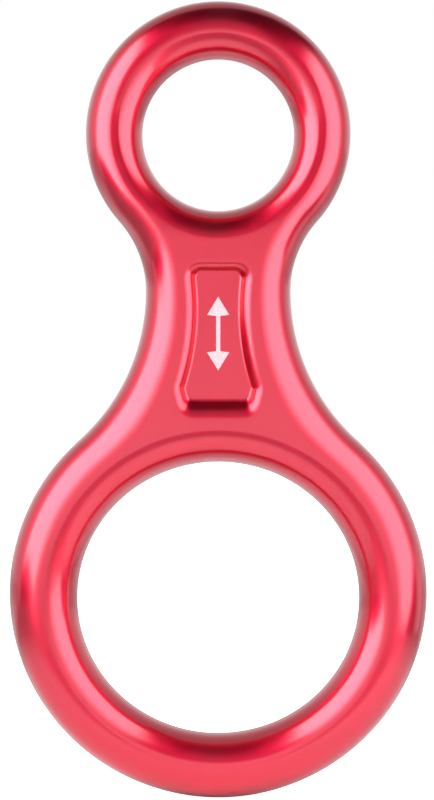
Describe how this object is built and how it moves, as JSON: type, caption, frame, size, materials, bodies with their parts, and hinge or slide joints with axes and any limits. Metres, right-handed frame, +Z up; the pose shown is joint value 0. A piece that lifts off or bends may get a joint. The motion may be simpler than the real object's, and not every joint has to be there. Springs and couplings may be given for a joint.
{
  "type": "rope descender",
  "caption": "Figure-8 rope descender: a forged red anodised body with a small carabiner eye, a large rope ring and a waisted flat web with a shallow pocket in each face.",
  "frame": {"origin": "centre of the small carabiner eye, on the middle plane", "axes": "+Z up along the body, from the large ring towards the small eye; +X to the right; +Y through both holes towards the back, so the front looks along -Y"},
  "size_m": [0.0628, 0.012, 0.12],
  "materials": {
    "red_anodised_aluminium": "satin",
    "laser_mark": "matte"
  },
  "bodies": {
    "root": {"descender_body": "red_anodised_aluminium"}
  },
  "joints": []
}
